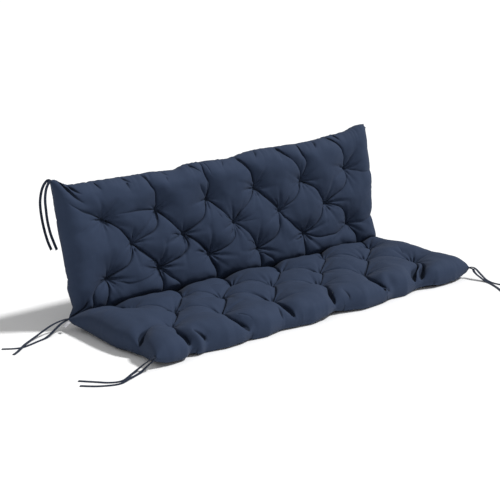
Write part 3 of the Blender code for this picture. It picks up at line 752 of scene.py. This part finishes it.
def makePadMesh():
    us, rs = gridLines()
    columns, rows = len(us) - 1, len(rs) - 1
    faceRuns, backRuns = creaseRuns(), rearRuns()
    layouts = {1: layCreases(us, rs, faceRuns), -1: layCreases(us, rs, backRuns)}
    report("creases laid out")

    bm = bmesh.new()
    panelLayer = bm.verts.layers.int.new("panel")
    columnLayer = bm.verts.layers.int.new("column")
    rowLayer = bm.verts.layers.int.new("row")
    acrossLayer = bm.verts.layers.float.new("across")
    alongLayer = bm.verts.layers.float.new("along")
    sideLayer = bm.verts.layers.float.new("side")
    uvLayer = bm.loops.layers.uv.new("cloth")
    bmesh.ops.create_grid(bm, x_segments=columns, y_segments=rows, size=0.5)
    for vert in bm.verts:
        vert[panelLayer] = 1
        vert[columnLayer] = round((vert.co.x + 0.5) * columns)
        vert[rowLayer] = round((vert.co.y + 0.5) * rows)
    copy = bmesh.ops.duplicate(bm, geom=bm.faces[:])
    for item in copy["geom"]:
        if isinstance(item, bmesh.types.BMVert):
            item[panelLayer] = -1
    rearFaces = [item for item in copy["geom"] if isinstance(item, bmesh.types.BMFace)]
    bmesh.ops.reverse_faces(bm, faces=rearFaces)

    creased = set()
    corners = {}
    for vert in bm.verts:
        corners[vert[panelLayer], vert[columnLayer], vert[rowLayer]] = vert
    for panel, (layoutU, layoutR, chains) in layouts.items():
        for (side, column, row), vert in corners.items():
            if side == panel:
                edgeGap = min(column, columns - column, row, rows - row) * pad["cell"]
                vert.co = (layoutU[column, row], layoutR[column, row], panel * min(edgeGap, 0.03))
        for chain in chains:
            for number, ((keyA, depthA), (keyB, depthB)) in enumerate(zip(chain, chain[1:])):
                vertA, vertB = corners[(panel, *keyA)], corners[(panel, *keyB)]
                if vertA is vertB:
                    continue
                edge = bm.edges.get((vertA, vertB))
                if edge is None:
                    shared = [face for face in vertA.link_faces if vertB in face.verts]
                    if not shared:
                        continue
                    bmesh.utils.face_split(shared[0], vertA, vertB)
                    edge = bm.edges.get((vertA, vertB))
                ends = [v for v, k in ((vertA, number), (vertB, len(chain) - 2 - number)) if k == 0]
                atTuft = any(math.hypot(v.co.x - tu, v.co.y - tr) < 0.4 * pad["cell"]
                             for v in ends for tu, tr in tuftPlaces.values())
                if not atTuft and max(depthA, depthB) > crease["leastDepth"]:
                    creased.add(edge)
    edgeVerts = [vert for vert in bm.verts if vert.is_boundary]
    bmesh.ops.remove_doubles(bm, verts=edgeVerts, dist=0.0001)
    creased = [edge for edge in creased if edge.is_valid]
    bmesh.ops.bevel(bm, geom=creased, offset=crease["strip"], offset_type="OFFSET", segments=2,
                    profile=0.5, affect="EDGES", clamp_overlap=False, material=-1, loop_slide=True)
    tuftTree = kdtree.KDTree(len(tuftPlaces))
    for number, (tu, tr) in enumerate(tuftPlaces.values()):
        tuftTree.insert((tu, tr, 0.0), number)
    tuftTree.balance()
    fine = set()
    for face in bm.faces:
        middle = face.calc_center_median()
        if tuftTree.find((middle.x, middle.y, 0.0))[2] < tuft["fineReach"]:
            fine.update(face.edges)
    bmesh.ops.subdivide_edges(bm, edges=list(fine), cuts=1, use_grid_fill=True)
    for vert in bm.verts:
        vert[acrossLayer], vert[alongLayer] = vert.co.x, vert.co.y
        vert[sideLayer] = 0.0 if abs(vert.co.z) < 1e-5 else math.copysign(1.0, vert.co.z)
    for face in bm.faces:
        shift = 0.0 if sum(loop.vert.co.z for loop in face.loops) > 0.0 else 1.5
        for loop in face.loops:
            loop[uvLayer].uv = (loop.vert.co.x, loop.vert.co.y + shift)
    report(f"cloth panels sewn: {len(bm.verts)} points")
    return addPiece("pad_cloth", bm), faceRuns, backRuns


def attribute(mesh, name, kind):
    values = np.empty(len(mesh.vertices), dtype=np.int32 if kind == "int" else np.float32)
    mesh.attributes[name].data.foreach_get("value", values)
    return values


def blowUp(padObj, flat, start, panel, hold, ground):  # fills the cover; what is sewn stays
    mesh = padObj.data
    padObj.shape_key_add(name="start")
    cut = padObj.shape_key_add(name="cut")
    cutCoords = np.array(flat)
    cutCoords[:, :2] *= clothSim["slack"]
    cutCoords[:, 2] = panel * 0.0002
    cut.data.foreach_set("co", cutCoords.ravel())
    cut.value = 0.0
    pins = padObj.vertex_groups.new(name="sewn")
    tufted = np.zeros(len(mesh.vertices), dtype=bool)
    for tu, tr in tuftPlaces.values():
        tufted |= np.hypot(flat[:, 0] - tu, flat[:, 1] - tr) < 0.6 * pad["cell"]
    atFold, onGround = np.abs(flat[:, 1]) < 1e-5, start[:, 2] <= ground + 1e-5
    fixed = (panel == 0) | tufted | atFold | (onGround & (panel < 0))
    pins.add(np.where(fixed)[0].tolist(), 1.0, "REPLACE")
    for index in np.where(~fixed & (hold > 0.05))[0]:
        pins.add([int(index)], float(clothSim["creaseHold"] * hold[index]), "REPLACE")
    sim = padObj.modifiers.new("cloth", "CLOTH")
    settings = sim.settings
    settings.quality = clothSim["quality"]
    settings.mass = clothSim["vertexMass"]
    settings.tension_stiffness = clothSim["stretch"]
    settings.compression_stiffness = clothSim["stretch"]
    settings.shear_stiffness = clothSim["shear"]
    settings.bending_stiffness = clothSim["bending"]
    settings.air_damping = 4.0
    settings.use_pressure = True
    settings.uniform_pressure_force = clothSim["pressure"]
    settings.effector_weights.gravity = 0.0
    settings.vertex_group_mass = pins.name
    settings.pin_stiffness = 1.0
    settings.rest_shape_key = cut
    sim.collision_settings.use_collision = False
    sim.point_cache.frame_start = 1
    sim.point_cache.frame_end = clothSim["frames"]
    for number in range(1, clothSim["frames"] + 1):
        bpy.context.scene.frame_set(number)
    result = coordsOf(padObj.evaluated_get(bpy.context.evaluated_depsgraph_get()).data)
    bpy.context.scene.frame_set(1)
    padObj.modifiers.clear()
    padObj.shape_key_clear()
    move = result - start
    length = np.linalg.norm(move, axis=1)
    report(f"cloth blown up: moved {length.mean() * 1000:.1f} mm on average")
    move *= np.minimum(1.0, clothSim["mostMove"] / np.maximum(length, 1e-9))[:, None]
    return start + move


def makePad(cloth):
    padObj, faceRuns, backRuns = makePadMesh()
    mesh = padObj.data
    flat = coordsOf(mesh)
    panel = np.sign(np.round(attribute(mesh, "side", "float"))).astype(int)
    flat[:, 2] = 0.0
    u, r = flat[:, 0], flat[:, 1]
    hold = np.zeros(len(u))
    x, reach = drawnIn(u, r)
    loft = np.zeros(len(u))
    for side, runs in ((1, faceRuns), (-1, backRuns)):
        these = panel == side
        loft[these] = side * loftOf(u[these], r[these], side, runs)
        hold[these] = np.clip(3.0 * creaseFields(u[these], r[these], runs)[1], 0.0, 1.0)
    ground = groundUnder(u, r)
    start = keepClear(standUp(x, reach, loft), panel, reach, ground)
    report("pad folded")
    setCoords(mesh, start)
    # painted shade: each point's share of a crease tuck, later also the stitch spots, darkens the
    # cloth's colour
    paintedShadeMask = mesh.attributes.new("paintedShadeMask", "FLOAT", "POINT")
    paintedShadeMask.data.foreach_set("value", hold.astype(np.float32))
    coords = start
    coords = keepClear(blowUp(padObj, flat, start, panel, hold, ground), panel, reach, ground)
    setCoords(mesh, coords)
    corners = padObj.data.attributes.new("crease_vert", "FLOAT", "POINT")
    atCorner = (np.abs(u) > pad["halfWidth"] - 1e-4) & (
        (r > pad["backHeight"] - 1e-4) | (r < 1e-4 - pad["seatDepth"]))
    corners.data.foreach_set("value", atCorner.astype(np.float32))
    smooth = padObj.modifiers.new("smooth", "SUBSURF")
    smooth.levels = smooth.render_levels = 1
    smooth.boundary_smooth = "PRESERVE_CORNERS"
    applyModifiers(padObj)
    foldRound(padObj, faceRuns, backRuns)
    padObj.data.shade_smooth()
    padObj.data.materials.append(cloth)
    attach(padObj, "root")
    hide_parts("cushion")
    report(f"pad finished: {len(padObj.data.polygons)} faces")
    return padObj


def loftNow(coords, along):  # height above the seam plane of the half that a point is on
    leanY, leanZ = math.sin(pad["lean"]), math.cos(pad["lean"])
    onSeat = coords[:, 2] - pad["seamZ"]
    onBack = -(coords[:, 1] - pad["foldY"]) * leanZ + (coords[:, 2] - pad["seamZ"]) * leanY
    return np.where(along < 0.0, onSeat, onBack)


def normalsOf(mesh):
    normals = np.empty(len(mesh.vertices) * 3)
    mesh.vertex_normals.foreach_get("vector", normals)
    return normals.reshape(-1, 3)


def unevenness(u, r, side, size):  # smooth random heights, worked out on a coarse grid
    step = 0.25 * size
    us = np.arange(-pad["halfWidth"] - step, pad["halfWidth"] + 2.0 * step, step)
    rs = np.arange(-pad["seatDepth"] - step, pad["backHeight"] + 2.0 * step, step)
    column, row = (u - us[0]) / step, (r - rs[0]) / step
    i, j = column.astype(int), row.astype(int)
    a, b = column - i, row - j
    heights = np.zeros(len(u))
    for panel in (1.0, -1.0):
        grid = np.array([[noise.noise(Vector((x / size, y / size, panel * 7.3))) for y in rs]
                         for x in us])
        mixed = (1 - a) * ((1 - b) * grid[i, j] + b * grid[i, j + 1]) + a * (
            (1 - b) * grid[i + 1, j] + b * grid[i + 1, j + 1])
        heights += np.where(side * panel > 0.0, mixed, 0.0)
    return heights


def waveAlong(along, lane, size):  # smooth random heights along each lane
    places = np.arange(-0.8, 0.8, 0.2 * size)
    heights = np.zeros(len(along))
    for value in np.unique(lane):
        wave = [noise.noise(Vector((a / size, float(value), 0.3))) for a in places]
        heights = np.where(lane == value, np.interp(along, places, wave), heights)
    return heights


def evenOut(mesh, values, times):  # averages a value with its neighbours
    ends = np.empty(len(mesh.edges) * 2, dtype=np.int32)
    mesh.edges.foreach_get("vertices", ends)
    a, b = ends.reshape(-1, 2).T
    count = np.bincount(a, minlength=len(values)) + np.bincount(b, minlength=len(values))
    for _ in range(times):
        around = np.bincount(a, values[b], len(values)) + np.bincount(b, values[a], len(values))
        values = 0.5 * values + 0.5 * around / np.maximum(count, 1)
    return values


def dentAndShadeStitches(mesh, u, r, side):  # small dents at the stitches, darkened with painted shade
    paintedShadeMask = attribute(mesh, "paintedShadeMask", "float")
    dots = [(spot, tuft["stitch"]) for spot in tuftPlaces.values()]
    dots += [(place(spot), tuft["dot"]) for spot in seatDots]
    dent = np.zeros(len(u))
    for (tu, tr), size in dots:
        dark = np.exp(-((u - tu) ** 2 + (r - tr) ** 2) / size ** 2) * (side > 0.0)
        paintedShadeMask = np.maximum(paintedShadeMask, dark)
        dent += tuft["dotDent"] * dark
    mesh.attributes["paintedShadeMask"].data.foreach_set("value", paintedShadeMask.astype(np.float32))
    return dent


def tuftFolds(mesh, u, r, side):  # small folds that run out from every tuft
    random = np.random.default_rng(3)
    press = np.zeros(len(u))
    widthAt, widthGrows = tuft["foldWidth"]
    begins, grows = tuft["foldFrom"]
    for panel in (1.0, -1.0):
        for tu, tr in tuftPlaces.values():
            near = np.where((np.abs(u - tu) < tuft["around"]) & (np.abs(r - tr) < tuft["around"])
                            & (side * panel > 0.0))[0]
            gap = np.hypot(u[near] - tu, r[near] - tr)
            angle = np.arctan2(r[near] - tr, u[near] - tu)
            count = random.integers(*tuft["foldCount"])
            ridges = np.zeros(len(near))
            for k in range(count):
                toward = (k + random.uniform(-0.35, 0.35)) * 2.0 * math.pi / count
                toward = toward + random.uniform(-2.0, 2.0) * gap
                length = tuft["foldReach"] * random.uniform(*tuft["foldLength"])
                turn = np.abs((angle - toward + math.pi) % (2.0 * math.pi) - math.pi)
                apart = gap * np.sin(np.minimum(turn, 0.5 * math.pi))
                narrow = np.clip(1.0 - apart / (widthAt + widthGrows * gap), 0.0, 1.0)
                narrow = narrow * (2.0 - narrow) * narrow
                depth = random.uniform(0.35, 1.0)
                ridges = np.maximum(ridges, narrow * depth * np.exp(-(gap / length) ** 1.6))
            press[near] += tuft["foldDepth"] * ridges * np.clip((gap - begins) / grows, 0.0, 1.0)
            press[near] += tuft["core"] * np.exp(-(gap / tuft["coreReach"]) ** 2)
    return evenOut(mesh, press, 1) + dentAndShadeStitches(mesh, u, r, side)


def seamFolds(mesh, u, r, side, creases):  # grooves, pleats and puckers at the seams
    sideGap = pad["halfWidth"] - np.abs(u)
    seamGap = np.minimum(sideGap, np.where(r < 0.0, pad["seatDepth"] + r, pad["backHeight"] - r))
    sink = seam["groove"] * np.exp(-(seamGap / seam["grooveWidth"]) ** 2)
    for panel, runs in creases.items():
        near = np.where((seamGap < seam["pleatsFrom"]) & (side * panel > 0.0))[0]
        valley, tuck = creaseFields(u[near], r[near], runs)[:2]
        share = np.clip((seam["pleatsFrom"] - seamGap[near]) / seam["pleatsGrow"], 0.0, 1.0)
        share = share * np.clip(seamGap[near] / seam["pleatsFade"], 0.35, 1.0)
        sink[near] += share * (seam["pleatValley"] * np.minimum(valley, 2.0) ** 1.5
                               + seam["pleatTuck"] * np.minimum(tuck, 1.0))
    for size, depth in seam["unevenness"]:
        inside = np.clip(seamGap / seam["evenFrom"], 0.0, 1.0)
        sink += depth * unevenness(u, r, side, size) * inside
    along = np.where(seamGap == sideGap, r, u)
    pucker = waveAlong(along, side * 7.0, seam["puckerSize"])
    bunch = waveAlong(along, side * 3.0 + 5.3, seam["bunchSize"])
    atTop = (pad["backHeight"] - r < sideGap) & (r > 0.0)
    depth = np.where(atTop, *seam["puckerDepth"]) * np.clip(0.3 + 2.4 * bunch, 0.0, 1.5)
    sink += depth * np.clip(pucker * 1.4, -0.15, 1.0) * np.exp(-seamGap / seam["puckerReach"])
    return evenOut(mesh, sink, 1)


def foldRound(padObj, faceRuns, backRuns):
    mesh = padObj.data
    coords = coordsOf(mesh)
    u, r, side = (attribute(mesh, name, "float") for name in ("across", "along", "side"))
    press, now = tuftFolds(mesh, u, r, side), loftNow(coords, r)
    press = np.minimum(press, tuft["mostPress"] * np.abs(now)) * np.sign(now)
    press = press * (np.sign(now) == np.sign(side))   # straight towards the seam plane
    coords[:, 1] += np.where(r > 0.0, press * math.cos(pad["lean"]), 0.0)
    coords[:, 2] -= np.where(r > 0.0, press * math.sin(pad["lean"]), press)
    setCoords(mesh, coords)
    normals = normalsOf(mesh)
    sink = seamFolds(mesh, u, r, side, {1.0: faceRuns, -1.0: backRuns})
    sink = np.minimum(sink, seam["mostSink"] * np.abs(loftNow(coords, r)) + 0.004)
    coords -= normals * sink[:, None]
    coords[:, 2] = np.maximum(coords[:, 2], 0.0)
    setCoords(mesh, coords)


tabShape = {
    "cells": (12, 10),
    "edge": 0.0005,        # below the top of its space, and above the bottom
    "droop": 1.3,
    "ripple": 0.0008,
    "rippleTurn": 5.0,
    "thickness": 0.0009,
}


def makeTab(cloth):
    low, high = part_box("side_tab")
    bm = bmesh.new()
    columns, rows = tabShape["cells"]
    bmesh.ops.create_grid(bm, x_segments=columns, y_segments=rows, size=0.5)
    for vert in bm.verts:
        across, along = vert.co.x + 0.5, vert.co.y + 0.5
        drop = (across ** tabShape["droop"]) * (high[2] - low[2] - 0.001)
        ripple = tabShape["ripple"] * math.sin(along * tabShape["rippleTurn"]) * across
        vert.co = (high[0] - across * (high[0] - low[0]), low[1] + along * (high[1] - low[1]),
                   high[2] - tabShape["edge"] - drop + ripple)
    tab = addPiece("side_tab_tape", bm)
    thicken(tab, tabShape["thickness"], cloth)
    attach(tab, "root")
    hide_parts("side_tab")
    return tab


weaveLook = {
    "sheen": 0.03,
    "gloss": 0.06,
    "cloudScale": 14.0,
    "shades": (0.93, 1.07),   # the cloth's faint cloudiness
    "paintedShadeShare": 0.45,      # painted shade: the colour's share down in the folds and at the stitches
    "threadBend": 0.4,
    "bump": 0.12,
    "bumpHeight": 0.0002,
}


def mixOf(nodes, first, second):
    mix = nodes.new("ShaderNodeMix")
    mix.data_type = "RGBA"
    if first:
        mix.inputs["A"].default_value = [*first, 1.0]
    mix.inputs["B"].default_value = [*second, 1.0]
    return mix


def clothFinish(name, colour, roughness, weaveScale, uvName):
    material = bpy.data.materials.new(name)
    material.use_nodes = True
    nodes, links = material.node_tree.nodes, material.node_tree.links
    shader = nodes["Principled BSDF"]
    shader.inputs["Roughness"].default_value = roughness
    shader.inputs["Sheen Weight"].default_value = weaveLook["sheen"]
    shader.inputs["Sheen Roughness"].default_value = 0.5
    shader.inputs["Specular IOR Level"].default_value = weaveLook["gloss"]
    layout = nodes.new("ShaderNodeUVMap")
    layout.uv_map = uvName
    cloudy = nodes.new("ShaderNodeTexNoise")
    cloudy.inputs["Scale"].default_value = weaveLook["cloudScale"]
    cloudy.inputs["Detail"].default_value = 4.0
    links.new(layout.outputs["UV"], cloudy.inputs["Vector"])
    shade = mixOf(nodes, *[[c * share for c in colour] for share in weaveLook["shades"]])
    links.new(cloudy.outputs["Fac"], shade.inputs["Factor"])
    # painted shade: the cloth's colour darkens down the creases and at the stitches, following a
    # mesh attribute
    paintedShadeMask = nodes.new("ShaderNodeAttribute")
    paintedShadeMask.attribute_name = "paintedShadeMask"
    darker = mixOf(nodes, None, [c * weaveLook["paintedShadeShare"] for c in colour])
    links.new(paintedShadeMask.outputs["Fac"], darker.inputs["Factor"])
    links.new(shade.outputs["Result"], darker.inputs["A"])
    links.new(darker.outputs["Result"], shader.inputs["Base Color"])
    threads = []
    for turn in (0.0, 90.0):
        turned = nodes.new("ShaderNodeMapping")
        turned.inputs["Rotation"].default_value = (0.0, 0.0, math.radians(turn))
        links.new(layout.outputs["UV"], turned.inputs["Vector"])
        wave = nodes.new("ShaderNodeTexWave")
        wave.inputs["Scale"].default_value = weaveScale
        wave.inputs["Distortion"].default_value = weaveLook["threadBend"]
        links.new(turned.outputs["Vector"], wave.inputs["Vector"])
        threads.append(wave)
    weave = nodes.new("ShaderNodeMath")
    weave.operation = "MULTIPLY"
    links.new(threads[0].outputs["Fac"], weave.inputs[0])
    links.new(threads[1].outputs["Fac"], weave.inputs[1])
    bump = nodes.new("ShaderNodeBump")
    bump.inputs["Strength"].default_value = weaveLook["bump"]
    bump.inputs["Distance"].default_value = weaveLook["bumpHeight"]
    links.new(weave.outputs["Value"], bump.inputs["Height"])
    links.new(bump.outputs["Normal"], shader.inputs["Normal"])
    return material


def tapeFinish():
    material = bpy.data.materials.new("paleTape")
    material.use_nodes = True
    nodes, links = material.node_tree.nodes, material.node_tree.links
    shader = nodes["Principled BSDF"]
    shader.inputs["Roughness"].default_value = 0.6
    coords = nodes.new("ShaderNodeTexCoord")
    grain = nodes.new("ShaderNodeTexNoise")
    grain.inputs["Scale"].default_value = 900.0
    links.new(coords.outputs["Object"], grain.inputs["Vector"])
    shade = mixOf(nodes, (0.50, 0.50, 0.54), (0.60, 0.60, 0.63))
    links.new(grain.outputs["Fac"], shade.inputs["Factor"])
    links.new(shade.outputs["Result"], shader.inputs["Base Color"])
    return material


studio = {
    "floorSize": 30.0,
    "sky": 0.45,
    "suns": [   # azimuth from the front towards the right and height in degrees, strength, spread
        ("keyLight", 58.0, 50.0, 3.15, 8.0),
    ],
}


def makeStudio():
    bm = bmesh.new()
    bmesh.ops.create_grid(bm, x_segments=1, y_segments=1, size=studio["floorSize"])
    bmesh.ops.translate(bm, vec=(0.0, 0.0, -0.0006), verts=bm.verts)
    floor = addPiece("studioFloor", bm)
    material = bpy.data.materials.new("studioWhite")
    material.use_nodes = True
    shader = material.node_tree.nodes["Principled BSDF"]
    shader.inputs["Base Color"].default_value = (0.93, 0.93, 0.93, 1.0)
    shader.inputs["Roughness"].default_value = 0.9
    floor.data.materials.append(material)
    for name, azimuth, height, strength, spread in studio["suns"]:
        data = bpy.data.lights.new(name, "SUN")
        data.energy = strength
        data.angle = math.radians(spread)
        lamp = bpy.data.objects.new(name, data)
        bpy.context.collection.objects.link(lamp)
        a, h = math.radians(azimuth), math.radians(height)
        toLight = Vector((math.sin(a) * math.cos(h), -math.cos(a) * math.cos(h), math.sin(h)))
        lamp.rotation_euler = toLight.to_track_quat("Z", "Y").to_euler()
    world = bpy.data.worlds.new("studioSky")
    world.use_nodes = True
    sky = world.node_tree.nodes["Background"]
    sky.inputs["Color"].default_value = (1.0, 1.0, 1.0, 1.0)
    sky.inputs["Strength"].default_value = studio["sky"]
    bpy.context.scene.world = world
    bpy.context.scene.view_settings.view_transform = "Standard"


makeCamera()
navyCloth = clothFinish("navyCloth", (0.0295, 0.0432, 0.0785), 0.75, 260.0, "cloth")
tieCloth = clothFinish("tieCloth", (0.022, 0.029, 0.048), 0.55, 320.0, "cloth")
for tieName in tieRoutes:
    makeTie(tieName, tieCloth)
report("ties laid")
makePad(navyCloth)
makeTab(tapeFinish())
makeStudio()

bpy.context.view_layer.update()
report("done")
